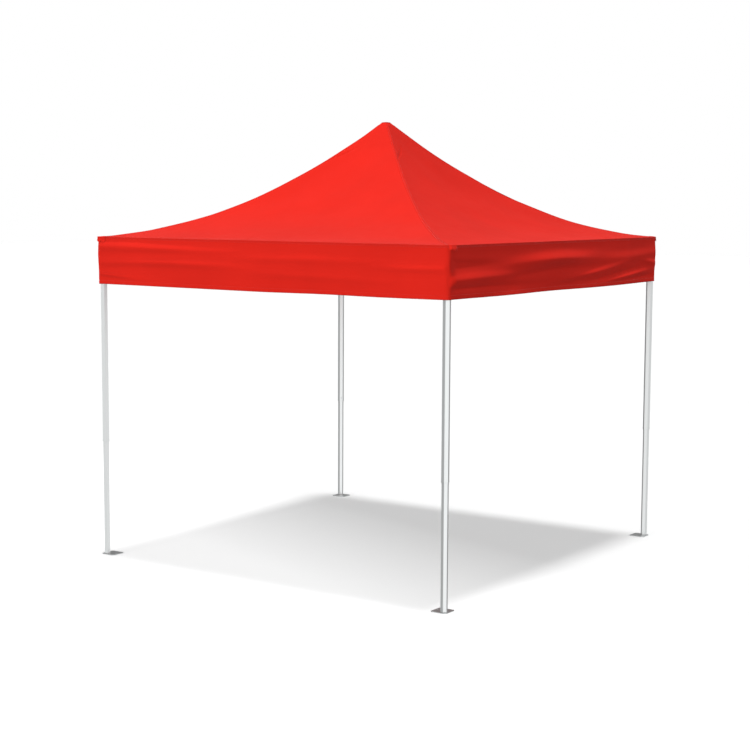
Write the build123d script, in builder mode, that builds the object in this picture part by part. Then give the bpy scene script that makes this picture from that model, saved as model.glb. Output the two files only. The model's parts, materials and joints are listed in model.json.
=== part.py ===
from build123d import *

import os
from dataclasses import dataclass
from math import asin, cos, degrees, hypot, radians, sin

os.makedirs("parts", exist_ok=True)

# A pop up canopy: a square scissor frame on four telescopic legs, under a pyramid cover.
# Millimetres, +Z up. The origin is on the ground, at the centre of the four legs.
# The front is -Y, and the sides are numbered front, right, back, left, seen from above.

# ---------------------------------------------------------------- the frame's span and heights
leg_axis_half = 1455.0  # from the centre to a leg's axis, along X and along Y
top_pivot_z = 2262.0  # every upper scissor pivot, open and folded
open_drop = 200.0  # from the upper to the lower scissor pivots when open
fold_travel = 79.0  # how far each bar turns from open to folded, in degrees

# ---------------------------------------------------------------- scissor bars and their pivots
bar_depth = 25.0
bar_width = 12.0
bar_wall = 1.2
bar_gap = 2.0  # between the two bars of one scissor, filled by a washer
bolt_r = 4.0
bolt_play = 0.1  # radial clearance of a bolt in its holes
bolt_head_r = 6.5
bolt_head_thick = 4.0
washer_r = 9.0
washer_play = 0.2  # between the washer and the bar that slides on it

# ---------------------------------------------------------------- brackets
clevis_play = 0.5  # on each side of a bar in its clevis
ear_thick = 4.0
ear_r = 12.0
wall_gap = 18.0  # from a pivot to the wall behind it
leg_pivot_reach = 62.0  # from a leg's axis to the pivots on it
mid_pivot_reach = 40.0  # from a mid bracket's centre to its side pivots
arm_pivot_reach = (leg_pivot_reach + mid_pivot_reach) / 2  # so that sides and arms fold alike
bracket_below = 16.0  # below its pivots
bracket_above = 16.0
hub_above = 28.0
core_corner_r = 6.0

# ---------------------------------------------------------------- legs, hexagonal, flat outwards
leg_flats = 45.0
leg_wall = 2.0
leg_above_pivot = 28.0
lower_leg_wall = 1.6
lower_leg_below_top = 890.0  # from the top of the leg to the lower leg's, drawn right out
leg_play = 0.3  # between the lower leg and the tube round it
bush_flats = 47.0
bush_height = 12.0
sleeve_wall = 5.0
sleeve_play = 0.15
sleeve_below_pivot = 22.0
slider_wall = 6.0
slider_play = 0.4
slider_above = 44.0
button_zone = 35.0  # of the leg, left below the folded slider

# ---------------------------------------------------------------- locks
button_r = 4.5
button_play = 0.3
button_flange_r = 7.0
button_flange_thick = 2.0
button_travel = 6.0
button_above_leg_end = 17.0
pin_r = 4.0
pin_play = 0.25
pin_tip_gap = 0.3
pin_knob_r = 9.0
pin_knob_length = 10.0
pin_above_pivot = 28.0
pin_travel = 5.0
pin_boss_length = 7.0

# ---------------------------------------------------------------- feet
foot_side = 115.0
foot_thick = 5.0
foot_corner_r = 14.0
foot_beyond_axis = 30.0  # the plate's outer edges, past the leg's axis
peg_hole_r = 6.5
peg_inset = 23.0  # from the plate's inner edges to a peg hole's centre

# ---------------------------------------------------------------- mast
mast_r = 14.0
mast_wall = 1.5
mast_bore_play = 0.4
mast_below_peak = 248.0
tip_play = 0.3
tip_overlap = 450.0  # of the tip over the mast, open
cap_r = 28.0
cap_thick = 12.0
cap_play = 0.3

# ---------------------------------------------------------------- cover
cover_reach = 16.5  # from the legs' outer flats to the cover
cover_thick = 1.2
eave_above_pivots = 50.0
valance_drop = 337.0
roof_rise = 836.0
peak_half = 30.0
roof_rows = 10
roof_straight_share = 0.15  # 1 is a straight slope, 0 a parabola that hollows most at the middle
cap_under_cover = 3.0  # from the corner brackets to the cloth over them

# ---------------------------------------------------------------- what follows from these
run_span = leg_axis_half - leg_pivot_reach - mid_pivot_reach
bar_pivots = hypot(run_span, open_drop)
open_angle = degrees(asin(open_drop / bar_pivots))
folded_drop = bar_pivots * sin(radians(open_angle + fold_travel))
low_pivot_z = top_pivot_z - open_drop
cross_pivot_z = top_pivot_z - open_drop / 2
bar_side = (bar_width + bar_gap) / 2  # from a scissor's middle plane to a bar's
pivot_hole_r = bolt_r + bolt_play
slot_width = bar_width + 2 * clevis_play
ear_width = slot_width + 2 * ear_thick
leg_top_z = top_pivot_z + leg_above_pivot
lower_leg_top_z = leg_top_z - lower_leg_below_top
leg_bottom_z = top_pivot_z - folded_drop - bracket_below - button_zone
lower_leg_flats = leg_flats - 2 * leg_wall - 2 * leg_play
button_z = leg_bottom_z + button_above_leg_end
pin_z = low_pivot_z + pin_above_pivot
cover_half = leg_axis_half + leg_flats / 2 + cover_reach
eave_z = top_pivot_z + eave_above_pivots
valance_bottom_z = eave_z - valance_drop
peak_z = eave_z + roof_rise
cover_inner_peak_z = peak_z - cover_thick
mast_top_z = peak_z - mast_below_peak
tip_bottom_z = mast_top_z - tip_overlap

UP = Vector(0, 0, 1)
SIDES = ("front", "right", "back", "left")
CORNERS = ("front_right", "back_right", "back_left", "front_left")  # each side's far end


# ---------------------------------------------------------------- frames of reference
def outward(side):
    """The way a side of the frame faces."""
    return Vector(0, -1, 0).rotate(Axis.Z, 90 * side)


def onward(side):
    """The way from a side's middle to its far end, anticlockwise seen from above."""
    return outward(side).rotate(Axis.Z, 90)


def corner_plane(corner, height):
    """A level plane on a leg's axis, with X pointing out of the frame along the diagonal."""
    outer = outward(corner) + onward(corner)
    return Plane(origin=outer * leg_axis_half + UP * height, x_dir=outer, z_dir=UP)


def upright_plane(point, toward):
    """An upright plane through a point, with X pointing toward the given way and Y up."""
    return Plane(origin=point, x_dir=toward, z_dir=toward.cross(UP))


@dataclass
class Run:
    """One scissor: the place under its inner pivots, and the way it runs."""

    start: Vector
    along: Vector

    def point(self, distance, across, height):
        return self.start + self.along * distance + UP.cross(self.along) * across + UP * height

    def inner_plane(self, across, height):
        """At an inner pivot, facing along the bar that starts there."""
        return upright_plane(self.point(0, across, height), self.along)

    def outer_plane(self, across, height):
        """At an outer pivot, facing back along the bar that ends there."""
        return upright_plane(self.point(run_span, across, height), self.along * -1)


def arm_run(side):
    """From the hub to the middle of a side."""
    return Run(outward(side) * arm_pivot_reach, outward(side))


def side_run(side, far_end):
    """From the middle of a side to the leg at its far end, or at its near end."""
    along = onward(side) * (1 if far_end else -1)
    return Run(outward(side) * leg_axis_half + along * mid_pivot_reach, along)


def save(shape, name):
    shape.label = name
    export_step(shape, f"parts/{name}.step")


# ---------------------------------------------------------------- pieces that repeat
def bolt(plane, half_grip):
    """A pivot bolt with a head at each end, across a plane and centred on it."""
    with BuildPart() as made:
        with BuildSketch(plane):
            Circle(bolt_r)
        extrude(amount=half_grip, both=True)
        for face, way in ((plane.offset(half_grip), 1), (plane.offset(-half_grip), -1)):
            with BuildSketch(face):
                Circle(bolt_head_r)
            extrude(amount=bolt_head_thick * way)
        ends = made.edges().filter_by(GeomType.CIRCLE).sort_by(Axis(plane.origin, plane.z_dir))
        chamfer([ends[0], ends[-1]], 1.0)
    return made.part


def washer(plane):
    """The spacer between two crossing bars, lying on the rising one."""
    with BuildPart() as made:
        with BuildSketch(plane):
            Circle(washer_r)
            Circle(pivot_hole_r, mode=Mode.SUBTRACT)
        extrude(amount=bar_gap - washer_play)
    return made.part


def clevis(plane, reach_back):
    """Two ears round a bar's end, on a block that runs back into its bracket."""
    with BuildPart() as made:
        with BuildSketch(plane):
            Circle(ear_r)
            with Locations((-reach_back / 2, 0)):
                Rectangle(reach_back, 2 * ear_r)
        extrude(amount=ear_width / 2, both=True)
        with BuildSketch(plane):
            with Locations((ear_r - wall_gap / 2, 0)):
                Rectangle(wall_gap + 2 * ear_r, 3 * ear_r)
        extrude(amount=slot_width / 2, both=True, mode=Mode.SUBTRACT)
        with BuildSketch(plane):
            Circle(pivot_hole_r)
        extrude(amount=ear_width, both=True, mode=Mode.SUBTRACT)
    return made.part


def bar(run, rising):
    """A scissor bar: a flat rectangular tube with rounded ends and three pivot holes."""
    lift = 1 if rising else -1
    centre = run.point(run_span / 2, -lift * bar_side, cross_pivot_z)
    plane = upright_plane(centre, run.along)
    reach = Vector(bar_pivots / 2, 0).rotate(Axis.Z, lift * open_angle)
    with BuildPart() as made:
        with BuildSketch(plane):
            SlotCenterToCenter(bar_pivots, bar_depth, rotation=lift * open_angle)
        extrude(amount=bar_width / 2, both=True)
        with BuildSketch(plane):
            Rectangle(
                bar_pivots + 2 * bar_depth, bar_depth - 2 * bar_wall, rotation=lift * open_angle
            )
        extrude(amount=bar_width / 2 - bar_wall, both=True, mode=Mode.SUBTRACT)
        with BuildSketch(plane):
            with Locations((0, 0), reach, reach * -1):
                Circle(pivot_hole_r)
        extrude(amount=bar_width, both=True, mode=Mode.SUBTRACT)
    return made.part


def save_scissor(run, falling_name, rising_name):
    """Both bars of a run. The rising bar keeps the bolt and the washer of their crossing."""
    save(bar(run, rising=False), falling_name)
    crossing = upright_plane(run.point(run_span / 2, 0, cross_pivot_z), run.along)
    half_grip = bar_side + bar_width / 2 + washer_play
    seat = crossing.offset(bar_gap / 2).origin  # on the rising bar's inner face
    washer_plane = Plane(origin=seat, x_dir=crossing.x_dir, z_dir=crossing.z_dir * -1)
    pieces = [bar(run, rising=True), bolt(crossing, half_grip), washer(washer_plane)]
    save(Compound(pieces), rising_name)


def hexagon(flats, mode=Mode.ADD):
    """A hexagon in the open sketch, with a flat facing its X."""
    return RegularPolygon(flats / 2, 6, major_radius=False, rotation=30, mode=mode)


# ---------------------------------------------------------------- hubs and mid brackets
def save_hub(name, pivot_z, across, above, bore_r, extra=()):
    """A block at the centre with a clevis for each of the four arms."""
    planes = [arm_run(side).inner_plane(across, pivot_z) for side in range(4)]
    clevises = [clevis(plane, arm_pivot_reach / 2) for plane in planes]
    core_side = 2 * (arm_pivot_reach - wall_gap)
    with BuildPart() as hub:
        with BuildSketch(Plane.XY.offset(pivot_z - bracket_below)):
            RectangleRounded(core_side, core_side, core_corner_r)
        extrude(amount=bracket_below + above)
        for ears in clevises:
            add(ears)
        with BuildSketch(Plane.XY.offset(pivot_z - bracket_below)):
            Circle(bore_r)
        extrude(amount=bracket_below + above, mode=Mode.SUBTRACT)
    bolts = [bolt(plane, ear_width / 2) for plane in planes]
    save(Compound([hub.part] + bolts + list(extra)), name)


def save_mid_bracket(name, side, pivot_z, arm_across, side_across):
    """The bracket at the middle of a side, where an arm meets two side runs."""
    planes = [
        arm_run(side).outer_plane(arm_across, pivot_z),
        side_run(side, far_end=True).inner_plane(side_across, pivot_z),
        side_run(side, far_end=False).inner_plane(side_across, pivot_z),
    ]
    reaches = (arm_pivot_reach / 2, mid_pivot_reach / 2, mid_pivot_reach / 2)
    clevises = [clevis(plane, reach) for plane, reach in zip(planes, reaches)]
    half_width = mid_pivot_reach - wall_gap
    out_reach = bar_side + ear_width / 2
    in_reach = arm_pivot_reach - wall_gap
    base = Plane(
        origin=outward(side) * leg_axis_half + UP * (pivot_z - bracket_below),
        x_dir=outward(side),
        z_dir=UP,
    )
    with BuildPart() as block:
        with BuildSketch(base):
            with Locations(((out_reach - in_reach) / 2, 0)):
                RectangleRounded(out_reach + in_reach, 2 * half_width, core_corner_r / 2)
        extrude(amount=bracket_below + bracket_above)
        for ears in clevises:
            add(ears)
    bolts = [bolt(plane, ear_width / 2) for plane in planes]
    save(Compound([block.part] + bolts), name)


# ---------------------------------------------------------------- what each leg carries
def leg_pivot_planes(corner, across, pivot_z):
    """The two side runs that end at a leg."""
    return [
        side_run(corner, far_end=True).outer_plane(across, pivot_z),
        side_run((corner + 1) % 4, far_end=False).outer_plane(across, pivot_z),
    ]


def save_corner_bracket(corner):
    """The cap on a leg, with the pivots of the two bars that hold its top."""
    planes = leg_pivot_planes(corner, -bar_side, top_pivot_z)
    clevises = [clevis(plane, leg_pivot_reach - leg_flats / 2) for plane in planes]
    bottom = corner_plane(corner, top_pivot_z - sleeve_below_pivot)
    top_z = eave_z - cover_thick - cap_under_cover
    with BuildPart() as bracket:
        with BuildSketch(bottom):
            hexagon(leg_flats + 2 * sleeve_wall)
        extrude(amount=top_z - bottom.origin.Z)
        fillet(bracket.edges().group_by(Axis.Z)[-1], sleeve_wall * 0.6)
        for ears in clevises:
            add(ears)
        with BuildSketch(bottom):
            hexagon(leg_flats + 2 * sleeve_play)
        extrude(amount=leg_top_z - bottom.origin.Z, mode=Mode.SUBTRACT)
    bolts = [bolt(plane, ear_width / 2) for plane in planes]
    save(Compound([bracket.part] + bolts), f"corner_bracket_{CORNERS[corner]}")


def inward_plane(corner, height, reach):
    """Upright, facing the centre of the frame, this far from a leg's axis."""
    level = corner_plane(corner, height)
    return Plane(origin=level.origin - level.x_dir * reach, x_dir=UP, z_dir=level.x_dir * -1)


def save_slider(corner):
    """The collar that slides on a leg, with the pivots of the two bars that hold it."""
    planes = leg_pivot_planes(corner, bar_side, low_pivot_z)
    clevises = [clevis(plane, leg_pivot_reach - leg_flats / 2) for plane in planes]
    bottom = corner_plane(corner, low_pivot_z - bracket_below)
    height = bracket_below + slider_above
    bore_flats = leg_flats + 2 * slider_play
    outer_flats = bore_flats + 2 * slider_wall
    with BuildPart() as slider:
        with BuildSketch(bottom):
            hexagon(outer_flats)
        extrude(amount=height)
        with BuildSketch(inward_plane(corner, pin_z, leg_flats / 2)):
            Circle(pin_knob_r)
        extrude(amount=outer_flats / 2 - leg_flats / 2 + pin_boss_length)
        for ears in clevises:
            add(ears)
        with BuildSketch(bottom):
            hexagon(bore_flats)
        extrude(amount=height, mode=Mode.SUBTRACT)
        with BuildSketch(inward_plane(corner, pin_z, leg_flats / 2)):
            Circle(pin_r + pin_play)
        extrude(amount=leg_pivot_reach, mode=Mode.SUBTRACT)
    bolts = [bolt(plane, ear_width / 2) for plane in planes]
    save(Compound([slider.part] + bolts), f"slider_{CORNERS[corner]}")


def save_slider_pin(corner):
    """The pull pin that locks a slider, drawn out clear of the leg."""
    boss_end = leg_flats / 2 + slider_play + slider_wall + pin_boss_length
    tip = inward_plane(corner, pin_z, leg_flats / 2 + pin_tip_gap)
    knob = inward_plane(corner, pin_z, boss_end + pin_travel + pin_tip_gap)
    with BuildPart() as pin:
        with BuildSketch(tip):
            Circle(pin_r)
        extrude(amount=boss_end + pin_travel - leg_flats / 2)
        chamfer(pin.edges(), pin_r / 4)
        with BuildSketch(knob):
            Circle(pin_knob_r)
        extrude(amount=pin_knob_length)
        fillet(pin.edges().filter_by(GeomType.CIRCLE).group_by(SortBy.RADIUS)[-1], pin_knob_r / 5)
    save(pin.part, f"slider_pin_{CORNERS[corner]}")


def save_leg(corner):
    """The outer leg tube, with the bush that closes its lower end round the lower leg."""
    bottom = corner_plane(corner, leg_bottom_z)
    with BuildPart() as tube:
        with BuildSketch(bottom):
            hexagon(leg_flats)
            hexagon(leg_flats - 2 * leg_wall, Mode.SUBTRACT)
        extrude(amount=leg_top_z - leg_bottom_z)
        for height, hole_r in ((button_z, button_r), (pin_z, pin_r)):
            with BuildSketch(inward_plane(corner, height, 0)):
                Circle(hole_r + 2 * button_play)
            extrude(amount=leg_flats, mode=Mode.SUBTRACT)
    with BuildPart() as bush:
        with BuildSketch(bottom):
            hexagon(bush_flats)
        extrude(amount=-bush_height)
        chamfer(bush.edges().group_by(Axis.Z)[0], length=bush_height / 3, length2=leg_wall / 2)
        with BuildSketch(bottom):
            hexagon(leg_flats - 2 * leg_wall)
        extrude(amount=-bush_height, mode=Mode.SUBTRACT)
    save(Compound([tube.part, bush.part]), f"leg_{CORNERS[corner]}")


def save_lower_leg(corner):
    """The inner leg tube, welded to its foot plate."""
    ground = corner_plane(corner, 0)
    plate = Plane(origin=ground.origin, x_dir=outward(corner), z_dir=UP)
    middle = foot_beyond_axis - foot_side / 2
    peg_near = middle
    peg_far = foot_beyond_axis - foot_side + peg_inset
    with BuildPart() as leg:
        with BuildSketch(plate):
            with Locations((middle, middle)):
                RectangleRounded(foot_side, foot_side, foot_corner_r)
            with Locations((peg_far, peg_near), (peg_near, peg_far)):
                Circle(peg_hole_r, mode=Mode.SUBTRACT)
        extrude(amount=foot_thick)
        with BuildSketch(ground.offset(foot_thick)):
            hexagon(lower_leg_flats)
            hexagon(lower_leg_flats - 2 * lower_leg_wall, Mode.SUBTRACT)
        extrude(amount=lower_leg_top_z - foot_thick)
        with BuildSketch(inward_plane(corner, button_z, 0)):
            Circle(button_r + button_play)
        extrude(amount=leg_flats, mode=Mode.SUBTRACT)
    save(leg.part, f"lower_leg_{CORNERS[corner]}")


def save_leg_button(corner):
    """The snap button that locks the lower leg, pressed in level with that leg's flat."""
    face = lower_leg_flats / 2
    seat = face - lower_leg_wall - button_travel - button_flange_thick - leg_play
    with BuildPart() as button:
        with BuildSketch(inward_plane(corner, button_z, seat)):
            Circle(button_flange_r)
        extrude(amount=button_flange_thick)
        with BuildSketch(inward_plane(corner, button_z, seat)):
            Circle(button_r)
        extrude(amount=face - seat)
        level = corner_plane(corner, 0)
        tip = button.edges().sort_by(Axis(level.origin, level.x_dir))[0]
        chamfer(tip, button_r / 5)
    save(button.part, f"leg_button_{CORNERS[corner]}")


# ---------------------------------------------------------------- mast
def tube_between(outer_r, wall, low_z, high_z):
    with BuildPart() as made:
        with BuildSketch(Plane.XY.offset(low_z)):
            Circle(outer_r)
            Circle(outer_r - wall, mode=Mode.SUBTRACT)
        extrude(amount=high_z - low_z)
    return made.part


def save_mast_tip():
    """The inner mast tube, with the cap that holds up the peak of the cover."""
    tip_r = mast_r - mast_wall - tip_play
    cap_top_z = cover_inner_peak_z - cap_play
    cap_bottom_z = cap_top_z - cap_thick
    with BuildPart() as cap:
        with BuildSketch(Plane.XY.offset(cap_bottom_z)):
            Circle(cap_r)
        extrude(amount=cap_thick)
        fillet(cap.edges().group_by(Axis.Z)[-1], cap_thick / 3)
    tube = tube_between(tip_r, mast_wall, tip_bottom_z, cap_bottom_z)
    save(Compound([tube, cap.part]), "mast_tip")


# ---------------------------------------------------------------- cover
def roof_section(row):
    """Half the side of the roof's square, and its height, from the eave up to the peak."""
    share = row / roof_rows
    half = cover_half + (peak_half - cover_half) * share
    rise = roof_straight_share * share + (1 - roof_straight_share) * share**2
    return half, eave_z + (peak_z - eave_z) * rise


def save_cover():
    """A thin shell: four hollow roof slopes up to a small flat peak, and a straight valance."""
    roof = [roof_section(row) for row in range(roof_rows + 1)]
    with BuildPart() as cover:
        for half, height in [(cover_half, valance_bottom_z)] + roof:
            with BuildSketch(Plane.XY.offset(height)):
                Rectangle(2 * half, 2 * half)
        loft(ruled=True)
        for half, height in [(cover_half, valance_bottom_z - cover_thick)] + roof:
            with BuildSketch(Plane.XY.offset(height - cover_thick)):
                Rectangle(2 * (half - cover_thick), 2 * (half - cover_thick))
        loft(ruled=True, mode=Mode.SUBTRACT)
    save(cover.part, "canopy_cover")


# ---------------------------------------------------------------- the whole canopy
save_cover()
save_mast_tip()
save_hub("top_hub", top_pivot_z, bar_side, hub_above, mast_r + mast_bore_play)
mast = tube_between(mast_r, mast_wall, low_pivot_z - bracket_below, mast_top_z)
save_hub("lower_hub", low_pivot_z, -bar_side, bracket_above, mast_r, extra=[mast])

for side, side_name in enumerate(SIDES):
    save_scissor(arm_run(side), f"arm_falling_{side_name}", f"arm_rising_{side_name}")
    for far_end, other in ((True, SIDES[(side + 1) % 4]), (False, SIDES[(side - 1) % 4])):
        run_name = f"{side_name}_to_{other}"
        run = side_run(side, far_end)
        save_scissor(run, f"side_falling_{run_name}", f"side_rising_{run_name}")
    save_mid_bracket(f"mid_top_{side_name}", side, top_pivot_z, -bar_side, bar_side)
    save_mid_bracket(f"mid_bottom_{side_name}", side, low_pivot_z, bar_side, -bar_side)

for corner in range(4):
    save_leg(corner)
    save_lower_leg(corner)
    save_corner_bracket(corner)
    save_slider(corner)
    save_leg_button(corner)
    save_slider_pin(corner)
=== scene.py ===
"""Looks of the pop up canopy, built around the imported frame, in metres, +Z up, front to -Y."""

import json
import math
import random

import bmesh
import bpy
from mathutils import Matrix, Vector, noise


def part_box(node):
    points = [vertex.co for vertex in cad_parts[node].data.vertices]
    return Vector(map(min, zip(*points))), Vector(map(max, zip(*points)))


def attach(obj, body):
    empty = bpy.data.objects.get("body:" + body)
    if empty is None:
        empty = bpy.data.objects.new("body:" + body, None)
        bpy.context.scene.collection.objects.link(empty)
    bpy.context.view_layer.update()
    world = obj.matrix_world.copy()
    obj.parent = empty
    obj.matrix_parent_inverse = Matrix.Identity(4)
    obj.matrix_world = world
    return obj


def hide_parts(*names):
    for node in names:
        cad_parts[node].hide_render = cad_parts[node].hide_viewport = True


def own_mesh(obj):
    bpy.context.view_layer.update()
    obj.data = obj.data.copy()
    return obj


bl_info = {
    "name": "Pop Up Canopy",
    "version": (1, 0, 0),
    "blender": (4, 5, 0),
    "location": "View3D > Sidebar > Canopy",
    "description": "Cloth, seams, frame finishes and stage of a square pop up canopy",
    "category": "Object",
}

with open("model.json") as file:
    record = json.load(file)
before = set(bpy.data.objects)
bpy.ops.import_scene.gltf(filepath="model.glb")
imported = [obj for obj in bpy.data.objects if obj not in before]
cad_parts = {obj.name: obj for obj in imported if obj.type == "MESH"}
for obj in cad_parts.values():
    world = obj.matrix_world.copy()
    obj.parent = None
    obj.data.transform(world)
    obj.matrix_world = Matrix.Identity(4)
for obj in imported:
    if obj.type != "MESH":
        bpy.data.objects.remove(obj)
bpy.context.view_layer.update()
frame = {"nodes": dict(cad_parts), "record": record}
COVER_LOW, COVER_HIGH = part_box("canopy_cover")
LEG_LOW, LEG_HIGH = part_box("leg_front_right")
LEG_AXIS = (LEG_LOW.x + LEG_HIGH.x) / 2

UP = Vector((0, 0, 1))
SIDES = ("front", "right", "back", "left")
CORNERS = ("front_right", "back_right", "back_left", "front_left")
# The folds of two sides: middle across, level down, half length, half width, tilt, height.
RIGHT_FOLDS = (
    (-0.92, 0.36, 0.26, 0.085, 0.02, -1.1), (-0.86, 0.64, 0.36, 0.110, -0.04, 2.2),
    (-0.80, 0.84, 0.42, 0.060, -0.02, -1.1), (-0.15, 1.02, 0.70, 0.085, -0.05, 2.2),
    (-0.08, 0.37, 0.34, 0.115, -0.10, 3.0), (-0.14, 0.60, 0.40, 0.090, -0.20, -1.0),
    (0.30, 0.66, 0.34, 0.075, -0.42, 1.5), (0.48, 0.78, 0.26, 0.055, -0.46, -1.2),
    (0.66, 0.80, 0.24, 0.060, -0.36, 1.7), (0.90, 0.86, 0.16, 0.050, -0.20, -1.2),
    (0.62, 0.40, 0.36, 0.100, -0.14, 0.9), (0.94, 0.56, 0.10, 0.060, 0.50, 1.0),
)
FRONT_FOLDS = (
    (-0.75, 0.22, 0.50, 0.085, 0.02, 1.7), (-0.62, 0.52, 0.50, 0.085, 0.05, 1.6),
    (-0.92, 0.78, 0.16, 0.050, 0.35, 1.3), (0.20, 0.35, 0.40, 0.090, -0.05, 0.9),
    (0.86, 0.45, 0.22, 0.070, 0.05, 0.9), (0.30, 0.68, 0.35, 0.080, 0.08, 0.8),
)
BRIGHT_WAY = (0.75, -0.62, 0.25)  # where the surround is brightest, as the metal mirrors it
SLOPE_LENGTH = 1.75  # of a roof slope's cloth, square to the eave
HIP_LENGTH = 2.25  # of a hip tape's cloth
FLAP_WIDTH = 0.095  # of a corner flap, along its side
TUCK_SHARE = 0.838  # how far up the slope a tuck lies beside each hip
TUCK_DEPTH = 0.016
FLOOR_COLOUR = (0.93, 0.93, 0.93, 1)
FLOOR_HALF = 60  # half the floor's side
GLOW_RISE = (-0.06, -0.17, 0.0)  # how the floor's glow grows for each metre along X, Y and Z
GLOW_MIDDLE = 0.15  # the glow under the canopy's middle
GLOW_RANGE = (0.03, 0.35)  # the least and the most it may be
SKY_LIFT = 0.45  # how much more the surround lights from straight above, as a share
MIRROR_RANGE = (0.22, 1.4)  # the surround's strength as the metal mirrors it, darkest and brightest
MIRROR_DARK_END = -0.75  # the cosine of the angle from BRIGHT_WAY past which it is darkest
CAMERA_PLACE = (6.763, -9.914, 2.606)
CAMERA_TURN = (124.645, -6.285, 0.28)  # yaw, pitch and roll in degrees


# ---------------------------------------------------------------- settings
class CanopyCoverSettings(bpy.types.PropertyGroup):
    """Sizes and colour of the cloth"""

    eave_z: bpy.props.FloatProperty(
        name="Eave height", description="Where the roof meets the valance",
        default=2.312, unit="LENGTH")
    peak_half: bpy.props.FloatProperty(
        name="Peak half width", description="Half the side of the small flat peak",
        default=0.030, unit="LENGTH")
    corner_radius: bpy.props.FloatProperty(
        name="Corner radius", description="How far the cloth rounds each corner of the frame",
        default=0.035, unit="LENGTH")
    straight_share: bpy.props.FloatProperty(
        name="Straight share", description="1 is a straight slope, 0 the most hollow one",
        default=0.15, subtype="FACTOR")
    panel_bow: bpy.props.FloatProperty(
        name="Panel bow", description="How far the middle of a slope is drawn in",
        default=0.030, unit="LENGTH")
    ripple: bpy.props.FloatProperty(
        name="Ripple depth", description="Depth of the valance's folds",
        default=0.011, unit="LENGTH")
    hem: bpy.props.FloatProperty(
        name="Hem height", description="Height of the turned hem", default=0.026, unit="LENGTH")
    gores_per_half: bpy.props.IntProperty(
        name="Gores", description="Strips that half a roof slope folds in", default=6)
    colour: bpy.props.FloatVectorProperty(
        name="Cloth colour", description="Colour of the coated cloth",
        subtype="COLOR", size=4, default=(0.78, 0.021, 0.012, 1.0))


class CanopySeamSettings(bpy.types.PropertyGroup):
    """Sizes of the sewing"""

    stitch_length: bpy.props.FloatProperty(
        name="Stitch length", description="Length of one stitch", default=0.0042, unit="LENGTH")
    stitch_pitch: bpy.props.FloatProperty(
        name="Stitch pitch", description="From stitch to stitch", default=0.0065, unit="LENGTH")
    thread_radius: bpy.props.FloatProperty(
        name="Thread radius", description="Half the thread", default=0.0006, unit="LENGTH")
    tape_width: bpy.props.FloatProperty(
        name="Tape width", description="Width of the tape on each hip", default=0.022,
        unit="LENGTH")
    tape_proud: bpy.props.FloatProperty(
        name="Tape height", description="How far a tape stands proud", default=0.0012,
        unit="LENGTH")


class CanopyFrameSettings(bpy.types.PropertyGroup):
    """Colours of the frame"""

    metal: bpy.props.FloatVectorProperty(
        name="Metal colour", description="Colour of the tubes", subtype="COLOR", size=4,
        default=(0.66, 0.675, 0.67, 1.0))
    plastic: bpy.props.FloatVectorProperty(
        name="Bracket colour", description="Colour of the moulded brackets", subtype="COLOR",
        size=4, default=(0.035, 0.036, 0.04, 1.0))


class CanopyStageSettings(bpy.types.PropertyGroup):
    """Camera and light"""

    lens: bpy.props.FloatProperty(
        name="Lens", description="Focal length in millimetres", default=77.63)
    top_energy: bpy.props.FloatProperty(
        name="Top light", description="Strength of the light overhead", default=1.4)
    key_energy: bpy.props.FloatProperty(
        name="Key light", description="Strength of the soft light on the front", default=2.0)
    sky_energy: bpy.props.FloatProperty(
        name="Sky", description="Strength of the surround, as a light", default=0.46)


# ---------------------------------------------------------------- the cloth's shape
def outward(side):
    """The way a side faces."""
    return Matrix.Rotation(math.radians(90 * side), 3, "Z") @ Vector((0, -1, 0))


def onward(side):
    """The way along a side, to the right as it is seen from outside."""
    return Matrix.Rotation(math.radians(90 * side), 3, "Z") @ Vector((1, 0, 0))


def smooth(value):
    """Eases from 0 to 1."""
    value = min(max(value, 0.0), 1.0)
    return value * value * (3 - 2 * value)


def footprint(side, across, half, radius):
    """A point and its outward way on one side of a rounded square, across from -1 to 1."""
    straight = half - radius
    reach = abs(across) * half
    turn = max(reach - straight, 0.0) / radius * math.pi / 4
    along = min(reach, straight) + radius * math.sin(turn)
    out = straight + radius * math.cos(turn)
    sign = 1 if across >= 0 else -1
    point = outward(side) * out + onward(side) * along * sign
    facing = outward(side) * math.cos(turn) + onward(side) * math.sin(turn) * sign
    return point, facing


def roof_point(cover, side, across, share):
    """A point of the roof, share from 0 at the eave to 1 at the peak."""
    half = COVER_HIGH.x + (cover.peak_half - COVER_HIGH.x) * share
    radius = cover.corner_radius + (cover.peak_half * 0.9 - cover.corner_radius) * share
    rise = cover.straight_share * share + (1 - cover.straight_share) * share**2
    point, facing = footprint(side, across, half, radius)
    middle = 1 - across * across
    bow = cover.panel_bow * middle * math.sin(math.pi * share)
    height = cover.eave_z + (COVER_HIGH.z - 0.0006 - cover.eave_z) * rise
    level = share - TUCK_SHARE
    lie = across + 0.80 - level * 6.6
    tuck = -TUCK_DEPTH * math.exp(-((lie / 0.05) ** 2)) * math.exp(-((level / 0.028) ** 2))
    crumple = noise.noise(Vector((across * 2.3 + side * 5, share * 7, 1.5)))
    drag = 0.006 * crumple * smooth(share / 0.08) * smooth((1 - share) / 0.1)
    pucker = math.sin(across * half * 95 + side) * math.exp(-share / 0.018)
    pull = 0.0022 * pucker * smooth(share / 0.004) * (0.4 + 0.6 * abs(across) ** 3)
    return point - facing * bow * 0.7 + UP * (height - bow * 0.55 + tuck + drag + pull)


def gore_edge(count, gores):
    """Where a gore ends along a side, the gores being narrower toward the corners."""
    even = -1 + 2 * count / gores
    return 0.25 * even + 0.75 * math.sin(math.pi / 2 * even)


def soft_ridge(across, down, fold):
    """The height of one long soft fold: its middle, half length, half width, tilt and height."""
    middle, level, half_length, half_width, tilt, height = fold
    along = (across - middle) / half_length
    lie = (down - level - tilt * (across - middle)) / half_width
    return height * math.exp(-(along**2)) * math.exp(-(lie**2))


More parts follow.
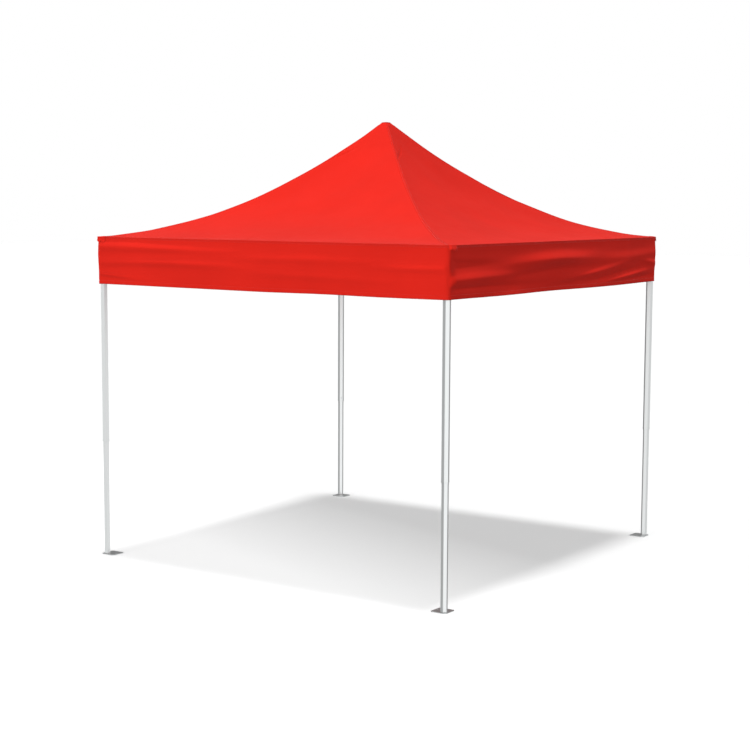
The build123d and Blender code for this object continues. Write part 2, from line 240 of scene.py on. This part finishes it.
def folds_of(side):
    """The long folds of one side's valance. Two sides' are placed, the others' are drawn."""
    if side < 2:
        return (FRONT_FOLDS, RIGHT_FOLDS)[side]
    draw = random.Random(40 + side)
    made = [(end * 0.98, draw.uniform(0.25, 0.9), draw.uniform(0.14, 0.3), draw.uniform(0.05, 0.08),
             draw.uniform(-0.3, 0.3) * end, draw.choice((-0.6, 0.5, 0.7)))
            for end in (-1, -1, -1, 1, 1, 1)]
    made += [(draw.uniform(-0.75, 0.75), draw.uniform(0.2, 0.85), draw.uniform(0.25, 0.5),
              draw.uniform(0.06, 0.11), draw.uniform(-0.25, 0.25), draw.choice((-0.4, 0.35, 0.45)))
             for _ in range(6)]
    return made


def valance_ripple(cover, side, across, down):
    """How far the valance stands out: long soft folds, with a faint crumple between them."""
    spread = noise.noise(Vector((across * 1.7 + side * 9.1, down * 2.0, 0.4)))
    fine = noise.noise(Vector((across * 5 + side * 3, down * 7 + across, 8.2)))
    folds = sum(soft_ridge(across, down + 0.05 * spread, fold) for fold in SIDE_FOLDS[side])
    total = folds * 1.08 + spread * 0.45 + fine * 0.14
    return cover.ripple * total * smooth(down / 0.14) * (1 - 0.5 * smooth((down - 0.8) / 0.2))


def valance_point(cover, side, across, down, proud=0.0):
    """A point of the valance, down from 0 at the eave to 1 at its lower edge."""
    point, facing = footprint(side, across, COVER_HIGH.x, cover.corner_radius)
    drop = cover.eave_z - COVER_LOW.z
    inset = (1 - abs(across)) * COVER_HIGH.x
    pulled = 0.006 * math.exp(-inset / 0.07) * smooth((down - 0.3) / 0.7) + 0.003 * down
    tucked = 0.005 * smooth(down / 0.03) * (1 - smooth((down - 0.05) / 0.35))
    stitch_line = 1 - cover.hem / drop
    groove = 0.0011 * math.exp(-(((down - stitch_line) * drop / 0.003) ** 2))
    at_corner = 1 - smooth(inset / 0.060)
    ripple = valance_ripple(cover, side, across, down) * (1 - at_corner)
    deepest = -0.006 - 0.006 * smooth((inset - 0.03) / 0.08)  # clear of the frame behind
    out = max(ripple - pulled - tucked, deepest) - groove + proud
    lift = 0.005 * down * noise.noise(Vector((across * 2.1 + side * 6, 4.4, 0))) * (1 - at_corner)
    return point + facing * out + UP * (cover.eave_z - drop * down + 0.0006 + lift)


SIDE_FOLDS = [folds_of(side) for side in range(4)]


def surface_normal(place, across, share, step=0.002):
    """The outward way of a surface given by place(across, share)."""
    a = place(min(across + step, 1.0), share) - place(max(across - step, -1.0), share)
    b = place(across, min(share + step, 1.0)) - place(across, max(share - step, 0.0))
    return a.cross(b).normalized()


# ---------------------------------------------------------------- making meshes
def new_piece(name, mesh, material, slot):
    piece = bpy.data.objects.new(name, mesh)
    bpy.context.scene.collection.objects.link(piece)
    mesh.materials.append(material)
    if slot == "cover_cloth":
        piece.visible_diffuse = False  # so that the cloth casts no red on a white studio floor
    return piece


def grid_mesh(name, place, columns, rows, uv_scale):
    """A sheet of quads through place(i, j), with a UV map in metres."""
    verts = [place(i, j) for j in range(rows + 1) for i in range(columns + 1)]
    wide = columns + 1
    faces = [
        (j * wide + i, j * wide + i + 1, (j + 1) * wide + i + 1, (j + 1) * wide + i)
        for j in range(rows)
        for i in range(columns)
    ]
    mesh = bpy.data.meshes.new(name)
    mesh.from_pydata(verts, [], faces)
    layer = mesh.uv_layers.new(name="cloth")
    for loop in mesh.loops:
        j, i = divmod(loop.vertex_index, wide)
        layer.data[loop.index].uv = (i * uv_scale[0], j * uv_scale[1])
    mesh.shade_smooth()
    return mesh


def fold_with_peak(piece):
    """Cloth rides on the mast."""
    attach(piece, "mast_tip")
    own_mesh(piece)


def fold_with_leg(piece, side, far_end):
    """Cloth rides on the leg at its end of a side."""
    corner = side if far_end else (side - 1) % 4
    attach(piece, f"leg_{CORNERS[corner]}")
    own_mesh(piece)


# ---------------------------------------------------------------- materials
class Finish:
    """A procedural material being wired up."""

    def __init__(self, name, colour, metallic, roughness):
        self.material = bpy.data.materials.new(name)
        self.material.use_nodes = True
        self.tree = self.material.node_tree
        self.shader = self.tree.nodes["Principled BSDF"]
        self.shader.inputs["Base Color"].default_value = colour
        self.shader.inputs["Metallic"].default_value = metallic
        self.shader.inputs["Roughness"].default_value = roughness
        self.coords = self.tree.nodes.new("ShaderNodeTexCoord")

    def node(self, kind, **inputs):
        made = self.tree.nodes.new(kind)
        for key, value in inputs.items():
            made.inputs[key].default_value = value
        return made

    def link(self, out, socket):
        self.tree.links.new(out, socket)

    def noise(self, scale, detail=3.0, stretch=(1, 1, 1)):
        mapping = self.tree.nodes.new("ShaderNodeMapping")
        mapping.inputs["Scale"].default_value = stretch
        self.link(self.coords.outputs["Object"], mapping.inputs["Vector"])
        texture = self.node("ShaderNodeTexNoise", Scale=scale, Detail=detail)
        self.link(mapping.outputs["Vector"], texture.inputs["Vector"])
        return texture.outputs["Fac"]

    def ramp(self, value, low, high):
        ramp = self.tree.nodes.new("ShaderNodeValToRGB")
        ramp.color_ramp.elements[0].position = 0.3
        ramp.color_ramp.elements[1].position = 0.7
        ramp.color_ramp.elements[0].color = low
        ramp.color_ramp.elements[1].color = high
        self.link(value, ramp.inputs["Fac"])
        return ramp.outputs["Color"]

    def tint(self, value, colour, low, high):
        """Varies the base colour between two shares of it."""
        shade = [tuple(c * share for c in colour[:3]) + (1.0,) for share in (low, high)]
        self.link(self.ramp(value, *shade), self.shader.inputs["Base Color"])

    def wear(self, value, low, high):
        spread = self.tree.nodes.new("ShaderNodeMapRange")
        spread.inputs["To Min"].default_value = low
        spread.inputs["To Max"].default_value = high
        self.link(value, spread.inputs["Value"])
        self.link(spread.outputs["Result"], self.shader.inputs["Roughness"])

    def bump(self, value, strength, distance, onto=None):
        bump = self.node("ShaderNodeBump", Strength=strength, Distance=distance)
        self.link(value, bump.inputs["Height"])
        if onto is not None:
            self.link(onto, bump.inputs["Normal"])
        self.link(bump.outputs["Normal"], self.shader.inputs["Normal"])
        return bump.outputs["Normal"]


def cloth_finish(name, colour, weave_per_metre=900.0):
    """Coated polyester: a fine square weave, faint creases and a soft sheen."""
    finish = Finish(name, colour, 0.0, 0.75)
    finish.tint(finish.noise(2.2, 4.0), colour, 0.95, 1.03)
    finish.wear(finish.noise(14.0, 2.0), 0.68, 0.82)
    threads = []
    for direction in ("X", "Y"):
        wave = finish.node("ShaderNodeTexWave", Scale=weave_per_metre / 20)
        wave.bands_direction = direction
        finish.link(finish.coords.outputs["UV"], wave.inputs["Vector"])
        threads.append(wave.outputs["Fac"])
    weave = finish.tree.nodes.new("ShaderNodeMath")
    weave.operation = "MULTIPLY"
    finish.link(threads[0], weave.inputs[0])
    finish.link(threads[1], weave.inputs[1])
    creases = finish.bump(finish.noise(5.5, 5.0), 0.25, 0.010)
    finish.bump(weave.outputs["Value"], 0.20, 0.0003, creases)
    finish.shader.inputs["Sheen Weight"].default_value = 0.02
    finish.shader.inputs["Sheen Roughness"].default_value = 0.5
    finish.shader.inputs["Specular IOR Level"].default_value = 0.05
    return finish.material


def thread_finish(name, colour):
    """Twisted polyester thread."""
    finish = Finish(name, colour, 0.0, 0.5)
    finish.tint(finish.noise(900.0, 1.0), colour, 0.8, 1.15)
    finish.shader.inputs["Sheen Weight"].default_value = 0.3
    return finish.material


def metal_finish(name, colour, streak, roughness):
    """Satin aluminium extrusion: fine die lines along the tube and faint handling marks."""
    finish = Finish(name, colour, 0.75, roughness)
    finish.tint(finish.noise(3.0, 3.0, streak), colour, 0.90, 1.06)
    finish.wear(finish.noise(7.0, 4.0, streak), roughness - 0.07, roughness + 0.09)
    finish.bump(finish.noise(40.0, 2.0, streak), 0.10, 0.0006)
    return finish.material


def plastic_finish(name, colour, roughness):
    """Moulded nylon with a fine spark grain, a little paler where it is rubbed."""
    finish = Finish(name, colour, 0.0, roughness)
    finish.tint(finish.noise(18.0, 4.0), colour, 0.85, 1.35)
    finish.wear(finish.noise(60.0, 3.0), roughness - 0.06, roughness + 0.10)
    finish.bump(finish.noise(900.0, 2.0), 0.25, 0.0002)
    return finish.material


def floor_finish():
    """A white studio floor that glows more toward the front left, so that its shadow fades there."""
    finish = Finish("studio_floor", FLOOR_COLOUR, 0.0, 0.8)
    finish.shader.inputs["Specular IOR Level"].default_value = 0.0
    toward = finish.node("ShaderNodeVectorMath")
    toward.operation = "DOT_PRODUCT"
    toward.inputs[1].default_value = GLOW_RISE
    glow = finish.node("ShaderNodeMath")
    glow.operation = "ADD"
    glow.inputs[1].default_value = GLOW_MIDDLE
    bounded = finish.node("ShaderNodeClamp", Min=GLOW_RANGE[0], Max=GLOW_RANGE[1])
    finish.link(finish.coords.outputs["Object"], toward.inputs[0])
    finish.link(toward.outputs["Value"], glow.inputs[0])
    finish.link(glow.outputs["Value"], bounded.inputs["Value"])
    finish.shader.inputs["Emission Color"].default_value = (1, 1, 1, 1)
    finish.link(bounded.outputs["Result"], finish.shader.inputs["Emission Strength"])
    finish.material.cycles.emission_sampling = "NONE"
    return finish.material


def finish_named(name):
    """Looks up a material, or makes it the first time."""
    if name in bpy.data.materials:
        return bpy.data.materials[name]
    colours = bpy.context.scene.canopy_frame
    cloth = tuple(bpy.context.scene.canopy_cover.colour)
    along = (60, 60, 1)
    makers = {
        "red_cloth": lambda: cloth_finish("red_cloth", cloth),
        "red_tape": lambda: cloth_finish("red_tape", tuple(c * 0.99 for c in cloth), 600.0),
        "red_thread": lambda: thread_finish("red_thread", tuple(c * 0.9 for c in cloth)),
        "leg_aluminium": lambda: metal_finish("leg_aluminium", colours.metal, along, 0.34),
        "bar_aluminium": lambda: metal_finish("bar_aluminium", colours.metal, (1, 1, 40), 0.40),
        "mast_aluminium": lambda: metal_finish("mast_aluminium", colours.metal, along, 0.30),
        "bracket_plastic": lambda: plastic_finish("bracket_plastic", colours.plastic, 0.48),
        "pin_plastic": lambda: plastic_finish("pin_plastic", (0.35, 0.02, 0.015, 1), 0.35),
        "button_steel": lambda: metal_finish("button_steel", (0.5, 0.5, 0.5, 1), (1, 1, 1), 0.25),
        "weld_metal": lambda: metal_finish("weld_metal", (0.55, 0.56, 0.56, 1), (9, 9, 9), 0.42),
    }
    return makers[name]()


# ---------------------------------------------------------------- repeated stitches
def stitch_tree():
    """Geometry nodes that lay short threads along a path of edges."""
    name = "stitch_row"
    if name in bpy.data.node_groups:
        return bpy.data.node_groups[name]
    tree = bpy.data.node_groups.new(name, "GeometryNodeTree")
    sockets = tree.interface
    sockets.new_socket("Path", in_out="INPUT", socket_type="NodeSocketGeometry")
    for label in ("Pitch", "Length", "Thread"):
        sockets.new_socket(label, in_out="INPUT", socket_type="NodeSocketFloat")
    sockets.new_socket("Material", in_out="INPUT", socket_type="NodeSocketMaterial")
    sockets.new_socket("Stitches", in_out="OUTPUT", socket_type="NodeSocketGeometry")
    kinds = {
        "given": "NodeGroupInput", "curve": "GeometryNodeMeshToCurve",
        "points": "GeometryNodeCurveToPoints", "thread": "GeometryNodeMeshCylinder",
        "lay": "GeometryNodeInstanceOnPoints", "real": "GeometryNodeRealizeInstances",
        "finish": "GeometryNodeSetMaterial", "result": "NodeGroupOutput",
    }
    node = {key: tree.nodes.new(kind) for key, kind in kinds.items()}
    node["points"].mode = "LENGTH"
    node["thread"].inputs["Vertices"].default_value = 6
    wires = [
        ("given", "Path", "curve", "Mesh"), ("curve", "Curve", "points", "Curve"),
        ("given", "Pitch", "points", "Length"), ("given", "Thread", "thread", "Radius"),
        ("given", "Length", "thread", "Depth"), ("thread", "Mesh", "lay", "Instance"),
        ("points", "Points", "lay", "Points"), ("points", "Rotation", "lay", "Rotation"),
        ("lay", "Instances", "real", "Geometry"), ("real", "Geometry", "finish", "Geometry"),
        ("given", "Material", "finish", "Material"), ("finish", "Geometry", "result", "Stitches"),
    ]
    for source, output, target, socket in wires:
        tree.links.new(node[source].outputs[output], node[target].inputs[socket])
    return tree


def stitch_rows(name, rows):
    """Rows of stitches along lists of points, as one plain mesh."""
    seams = bpy.context.scene.canopy_seams
    verts, edges = [], []
    for row in rows:
        start = len(verts)
        verts += row
        edges += [(start + i, start + i + 1) for i in range(len(row) - 1)]
    mesh = bpy.data.meshes.new(name + "_path")
    mesh.from_pydata(verts, edges, [])
    piece = bpy.data.objects.new(name, mesh)
    bpy.context.scene.collection.objects.link(piece)
    modifier = piece.modifiers.new("stitches", "NODES")
    modifier.node_group = stitch_tree()
    values = {
        "Pitch": seams.stitch_pitch, "Length": seams.stitch_length,
        "Thread": seams.thread_radius, "Material": finish_named("red_thread"),
    }
    for item in modifier.node_group.interface.items_tree:
        if item.in_out == "INPUT" and item.name in values:
            modifier[item.identifier] = values[item.name]
    depsgraph = bpy.context.evaluated_depsgraph_get()
    plain = bpy.data.meshes.new_from_object(piece.evaluated_get(depsgraph))
    piece.modifiers.remove(modifier)
    piece.data = plain
    return piece


# ---------------------------------------------------------------- operators, one per group
class CANOPY_OT_roof(bpy.types.Operator):
    """The four roof slopes, cut into narrow gores that meet edge to edge"""

    bl_idname = "canopy.roof"
    bl_label = "Roof"

    def execute(self, context):
        cover = context.scene.canopy_cover
        gores = 2 * cover.gores_per_half
        columns, rows = 8, 90
        for side, side_name in enumerate(SIDES):
            for gore in range(gores):
                first, last = gore_edge(gore, gores), gore_edge(gore + 1, gores)
                width = (last - first) * COVER_HIGH.x

                def spot(i, j, first=first, last=last):
                    return first + (last - first) * i / columns, j / rows

                def place(i, j, side=side, spot=spot):
                    return roof_point(cover, side, *spot(i, j))

                name = f"roof_{side_name}_{gore + 1}"
                slope = SLOPE_LENGTH / rows
                mesh = grid_mesh(name, place, columns, rows, (width / columns, slope))
                ways = [
                    surface_normal(lambda a, s: roof_point(cover, side, a, s), *spot(i, j))
                    for j in range(rows + 1)
                    for i in range(columns + 1)
                ]
                mesh.normals_split_custom_set_from_vertices(ways)
                piece = new_piece(name, mesh, finish_named("red_cloth"), "cover_cloth")
                base = roof_point(cover, side, (first + last) / 2, 0.0)
                fold_with_peak(piece)
                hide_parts("canopy_cover")
        return {"FINISHED"}


class CANOPY_OT_valance(bpy.types.Operator):
    """The valance round the eave, in a half for each end of each side, with its turned hem"""

    bl_idname = "canopy.valance"
    bl_label = "Valance"

    def execute(self, context):
        cover = context.scene.canopy_cover
        columns, rows, hem_rows = 220, 60, 4
        drop = cover.eave_z - COVER_LOW.z
        hem_share = cover.hem / drop
        for side, side_name in enumerate(SIDES):
            for far_end in (True, False):
                def place(i, j, side=side, far_end=far_end):
                    across = i / columns if far_end else i / columns - 1
                    if j >= hem_rows:
                        down = 1 - (j - hem_rows) / rows
                        return valance_point(cover, side, across, down)
                    down = 1 - hem_share * (hem_rows - j) / hem_rows
                    return valance_point(cover, side, across, down, proud=-0.0022)

                name = f"valance_{side_name}_{'far' if far_end else 'near'}"
                scale = (COVER_HIGH.x / columns, drop / rows)
                mesh = grid_mesh(name, place, columns, rows + hem_rows, scale)
                piece = new_piece(name, mesh, finish_named("red_cloth"), "cover_cloth")
                fold_with_leg(piece, side, far_end)
                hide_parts("canopy_cover")
        return {"FINISHED"}


class CANOPY_OT_seams(bpy.types.Operator):
    """Tapes on the hips, and the stitches of the hips, the eave and the hem"""

    bl_idname = "canopy.seams"
    bl_label = "Seams"

    def hip_tape(self, cover, seams, corner):
        """A tape over the seam where two slopes meet, with a row of stitches near each edge."""
        rows = 120
        half = seams.tape_width / 2
        other = (corner + 1) % 4
        left, right, verts = [], [], []
        for j in range(rows + 1):
            share = 0.002 + 0.985 * j / rows
            span = COVER_HIGH.x + (cover.peak_half - COVER_HIGH.x) * share
            inset = min(half / span, 0.45)
            points = [
                roof_point(cover, corner, 1 - inset, share), roof_point(cover, corner, 1, share),
                roof_point(cover, other, -1 + inset, share),
            ]
            ways = [
                surface_normal(lambda a, s: roof_point(cover, corner, a, s), 1 - inset, share),
                (outward(corner) + onward(corner)).normalized() + UP,
                surface_normal(lambda a, s: roof_point(cover, other, a, s), -1 + inset, share),
            ]
            ways[1].normalize()
            lift = seams.tape_proud
            verts += [points[0] + ways[0] * 0.0001] + [
                point + way * lift for point, way in zip(points, ways)
            ] + [points[2] + ways[2] * 0.0001]
            left.append(points[0].lerp(points[1], 0.25) + ways[0] * (lift + 0.0003))
            right.append(points[2].lerp(points[1], 0.25) + ways[2] * (lift + 0.0003))
        name = f"hip_tape_{CORNERS[corner]}"
        mesh = grid_mesh(name, lambda i, j: verts[j * 5 + i], 4, rows, (half / 2, HIP_LENGTH / rows))
        tape = new_piece(name, mesh, finish_named("red_tape"), "cover_cloth")
        stitches = stitch_rows(f"hip_stitches_{CORNERS[corner]}", [left, right])
        base = roof_point(cover, corner, 1, 0)
        for piece in (tape, stitches):
            fold_with_peak(piece)
            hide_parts("canopy_cover")

    def side_rows(self, cover, side, far_end):
        """The eave's and the hem's stitches on half a side."""
        steps = 300
        drop = cover.eave_z - COVER_LOW.z
        rows = []
        for down in (0.006 / drop, 0.014 / drop, 1 - cover.hem / drop):
            spots = [i / steps - (0 if far_end else 1) for i in range(steps + 1)]
            rows.append([valance_point(cover, side, spot, down, 0.0004) for spot in spots])
        end = "far" if far_end else "near"
        piece = stitch_rows(f"edge_stitches_{SIDES[side]}_{end}", rows)
        fold_with_leg(piece, side, far_end)
        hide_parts("canopy_cover")

    def execute(self, context):
        cover = context.scene.canopy_cover
        for corner in range(4):
            self.hip_tape(cover, context.scene.canopy_seams, corner)
            self.side_rows(cover, corner, True)
            self.side_rows(cover, corner, False)
        return {"FINISHED"}


class CANOPY_OT_corner_flaps(bpy.types.Operator):
    """The folded reinforcement at each upper corner, and the patch on the peak"""

    bl_idname = "canopy.corner_flaps"
    bl_label = "Corner Flaps"

    def flap(self, cover, corner):
        """A small turned-over tongue of cloth that hoods the corner."""
        other = (corner + 1) % 4
        columns, rows = 24, 16
        stand = 0.020 if corner == 0 else 0.006  # of the cloth off the valance, most at one corner
        proud = 0.0022
        on_roof = 0.4  # the share of the flap that lies on the roof
        drop = cover.eave_z - COVER_LOW.z

        def place(i, j):
            reach = i / columns
            across = -1 + reach * FLAP_WIDTH / COVER_HIGH.x
            down = j / rows
            scallop = 0.024 + 0.012 * abs(math.cos(math.pi * reach * 2.2 + 0.4))
            if down < on_roof:
                share = (on_roof - down) / on_roof * 0.022
                return roof_point(cover, other, across, share) + UP * proud
            fall = (down - on_roof) / (1 - on_roof)
            lifted = proud + stand * math.sin(fall * math.pi * 0.55) * (1 - reach**4)
            spot = valance_point(cover, other, across, fall * scallop / drop, lifted)
            return spot + UP * proud * (1 - fall)

        name = f"corner_flap_{CORNERS[corner]}"
        mesh = grid_mesh(name, place, columns, rows, (0.006, 0.006))
        piece = new_piece(name, mesh, finish_named("red_cloth"), "cover_cloth")
        thick = piece.modifiers.new("thickness", "SOLIDIFY")
        thick.thickness = 0.0012
        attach(piece, f"leg_{CORNERS[corner]}")
        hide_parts("canopy_cover")

    def peak_patch(self, cover):
        """A domed square patch sewn over the peak."""
        half, cells = cover.peak_half * 1.02, 20

        def place(i, j):
            x, y = (2 * i / cells - 1), (2 * j / cells - 1)
            dome = (1 - x * x) * (1 - y * y)
            corner = 1 - 0.12 * (x * x * y * y)
            return Vector((x * half * corner, y * half * corner, COVER_HIGH.z + 0.0004 + 0.0035 * dome))

        mesh = grid_mesh("peak_patch", place, cells, cells, (0.003, 0.003))
        piece = new_piece("peak_patch", mesh, finish_named("red_tape"), "cover_cloth")
        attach(piece, "mast_tip")
        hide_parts("canopy_cover")

    def execute(self, context):
        cover = context.scene.canopy_cover
        for corner in range(4):
            self.flap(cover, corner)
        self.peak_patch(cover)
        return {"FINISHED"}


class CANOPY_OT_frame_finish(bpy.types.Operator):
    """Finishes on every tube, bar, bracket and lock of the frame"""

    bl_idname = "canopy.frame_finish"
    bl_label = "Frame Finish"

    def execute(self, context):
        slots = {item["node"]: item["material_slot"] for item in frame["record"]["subparts"]}
        for name, node in frame["nodes"].items():
            if slots[name] == "cover_cloth":
                continue
            node.data.materials.clear()
            node.data.materials.append(finish_named(slots[name]))
        return {"FINISHED"}


class CANOPY_OT_weld_beads(bpy.types.Operator):
    """The weld round each leg where it meets its foot plate"""

    bl_idname = "canopy.weld_beads"
    bl_label = "Weld Beads"

    def execute(self, context):
        turns, ring = 96, 8
        half_flats, bead, plate = 0.0202, 0.0030, 0.005
        for index, corner in enumerate(CORNERS):
            centre = (outward(index) + onward(index)) * LEG_AXIS
            facing = math.atan2(centre.y, centre.x)
            verts = []
            for i in range(turns):
                angle = math.tau * i / turns
                across = (angle - facing + math.pi / 6) % (math.pi / 3) - math.pi / 6
                reach = half_flats / math.cos(across) + 0.0004
                size = bead * (1 + 0.12 * math.sin(angle * 48))
                for j in range(ring):
                    turn = math.tau * j / ring
                    out = reach + size * math.cos(turn) * 0.9
                    verts.append(centre + Vector((
                        math.cos(angle) * out, math.sin(angle) * out,
                        plate + 0.0003 + size * 0.5 * (1 + math.sin(turn)))))
            faces = [
                (i * ring + j, (i + 1) % turns * ring + j, (i + 1) % turns * ring + (j + 1) % ring,
                 i * ring + (j + 1) % ring)
                for i in range(turns)
                for j in range(ring)
            ]
            mesh = bpy.data.meshes.new(f"foot_weld_{corner}")
            mesh.from_pydata(verts, [], faces)
            mesh.shade_smooth()
            piece = new_piece(mesh.name, mesh, finish_named("weld_metal"), "leg_aluminium")
            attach(piece, f"lower_leg_{corner}")
        return {"FINISHED"}


class CANOPY_OT_stage(bpy.types.Operator):
    """The floor, the soft light and the camera"""

    bl_idname = "canopy.stage"
    bl_label = "Stage"

    def surround(self, energy):
        """A world that is seen as plain white, lights softly, and is mirrored bright on one side."""
        world = bpy.data.worlds.new("studio")
        world.use_nodes = True
        tree = world.node_tree
        even = tree.nodes["Background"]
        seen = tree.nodes.new("ShaderNodeBackground")
        mirrored = tree.nodes.new("ShaderNodeBackground")
        for backdrop in (even, seen, mirrored):
            backdrop.inputs["Color"].default_value = (1, 1, 1, 1)
        way = tree.nodes.new("ShaderNodeTexCoord")
        toward = tree.nodes.new("ShaderNodeVectorMath")
        toward.operation = "DOT_PRODUCT"
        toward.inputs[1].default_value = Vector(BRIGHT_WAY).normalized()
        strength = tree.nodes.new("ShaderNodeMapRange")
        strength.inputs["From Min"].default_value = MIRROR_DARK_END
        strength.inputs["To Min"].default_value = MIRROR_RANGE[0]
        strength.inputs["To Max"].default_value = MIRROR_RANGE[1]
        tree.links.new(way.outputs["Generated"], toward.inputs[0])
        tree.links.new(toward.outputs["Value"], strength.inputs["Value"])
        tree.links.new(strength.outputs["Result"], mirrored.inputs["Strength"])
        level = tree.nodes.new("ShaderNodeSeparateXYZ")
        lift = tree.nodes.new("ShaderNodeMath")
        lift.operation = "MULTIPLY_ADD"
        lift.inputs[1].default_value = energy * SKY_LIFT
        lift.inputs[2].default_value = energy
        tree.links.new(way.outputs["Generated"], level.inputs["Vector"])
        tree.links.new(level.outputs["Z"], lift.inputs[0])
        tree.links.new(lift.outputs["Value"], even.inputs["Strength"])
        path = tree.nodes.new("ShaderNodeLightPath")
        shiny = tree.nodes.new("ShaderNodeMixShader")
        tree.links.new(path.outputs["Is Glossy Ray"], shiny.inputs["Fac"])
        tree.links.new(even.outputs["Background"], shiny.inputs[1])
        tree.links.new(mirrored.outputs["Background"], shiny.inputs[2])
        mix = tree.nodes.new("ShaderNodeMixShader")
        tree.links.new(path.outputs["Is Camera Ray"], mix.inputs["Fac"])
        tree.links.new(shiny.outputs["Shader"], mix.inputs[1])
        tree.links.new(seen.outputs["Background"], mix.inputs[2])
        tree.links.new(mix.outputs["Shader"], tree.nodes["World Output"].inputs["Surface"])
        return world

    def soft_sun(self, name, energy, angle, way):
        """A sun as wide as a soft box, shining from a direction."""
        light = bpy.data.lights.new(name, "SUN")
        light.energy = energy
        light.angle = math.radians(angle)
        sun = bpy.data.objects.new(name, light)
        sun.rotation_euler = Vector(way).to_track_quat("Z", "Y").to_euler()
        sun.visible_glossy = False  # the metal mirrors only the surround
        bpy.context.scene.collection.objects.link(sun)

    def execute(self, context):
        scene = context.scene
        stage = scene.canopy_stage
        mesh = bpy.data.meshes.new("studio_floor")
        builder = bmesh.new()
        bmesh.ops.create_grid(builder, x_segments=8, y_segments=8, size=FLOOR_HALF)
        builder.to_mesh(mesh)
        builder.free()
        mesh.materials.append(floor_finish())
        floor = bpy.data.objects.new("studio_floor", mesh)
        floor.location.z = -0.0005  # just clear of the foot plates
        scene.collection.objects.link(floor)
        floor.visible_diffuse = False  # so that it doesn't light the shaded side from below
        floor.visible_glossy = False
        scene.world = self.surround(stage.sky_energy)
        self.soft_sun("top_light", stage.top_energy, 9, (0.05, 0.03, 1.0))
        self.soft_sun("key_light", stage.key_energy, 16, (-0.12, -1.0, 0.02))
        lens = bpy.data.cameras.new("camera")
        lens.lens = stage.lens
        lens.sensor_width = 36
        lens.clip_end = 300
        camera = bpy.data.objects.new("camera", lens)
        yaw, pitch, roll = (math.radians(angle) for angle in CAMERA_TURN)
        way = Vector((
            math.cos(pitch) * math.cos(yaw), math.cos(pitch) * math.sin(yaw), math.sin(pitch)))
        camera.location = CAMERA_PLACE
        turn = Matrix.Rotation(-roll, 3, way)
        camera.rotation_euler = (turn @ way.to_track_quat("-Z", "Y").to_matrix()).to_euler()
        scene.collection.objects.link(camera)
        scene.camera = camera
        scene.view_settings.view_transform = "Standard"
        return {"FINISHED"}


class CANOPY_PT_panel(bpy.types.Panel):
    """Lists the settings and the steps"""

    bl_idname = "CANOPY_PT_panel"
    bl_label = "Pop Up Canopy"
    bl_space_type = "VIEW_3D"
    bl_region_type = "UI"
    bl_category = "Canopy"

    def draw(self, context):
        for group in GROUPS:
            settings = getattr(context.scene, group)
            for name in settings.bl_rna.properties.keys():
                if name not in ("rna_type", "name"):
                    self.layout.prop(settings, name)
        for operator in OPERATORS:
            self.layout.operator(operator.bl_idname)


GROUPS = {
    "canopy_cover": CanopyCoverSettings,
    "canopy_seams": CanopySeamSettings,
    "canopy_frame": CanopyFrameSettings,
    "canopy_stage": CanopyStageSettings,
}
OPERATORS = (
    CANOPY_OT_roof, CANOPY_OT_valance, CANOPY_OT_seams, CANOPY_OT_corner_flaps,
    CANOPY_OT_frame_finish, CANOPY_OT_weld_beads, CANOPY_OT_stage,
)


def register():
    for group, settings in GROUPS.items():
        bpy.utils.register_class(settings)
        setattr(bpy.types.Scene, group, bpy.props.PointerProperty(type=settings))
    for operator in OPERATORS:
        bpy.utils.register_class(operator)
    bpy.utils.register_class(CANOPY_PT_panel)


def unregister():
    bpy.utils.unregister_class(CANOPY_PT_panel)
    for operator in reversed(OPERATORS):
        bpy.utils.unregister_class(operator)
    for group, settings in GROUPS.items():
        delattr(bpy.types.Scene, group)
        bpy.utils.unregister_class(settings)


def main():
    register()
    bpy.ops.canopy.stage()
    bpy.ops.canopy.roof()
    bpy.ops.canopy.valance()
    bpy.ops.canopy.seams()
    bpy.ops.canopy.corner_flaps()
    bpy.ops.canopy.frame_finish()
    bpy.ops.canopy.weld_beads()


if __name__ == "__main__":
    main()
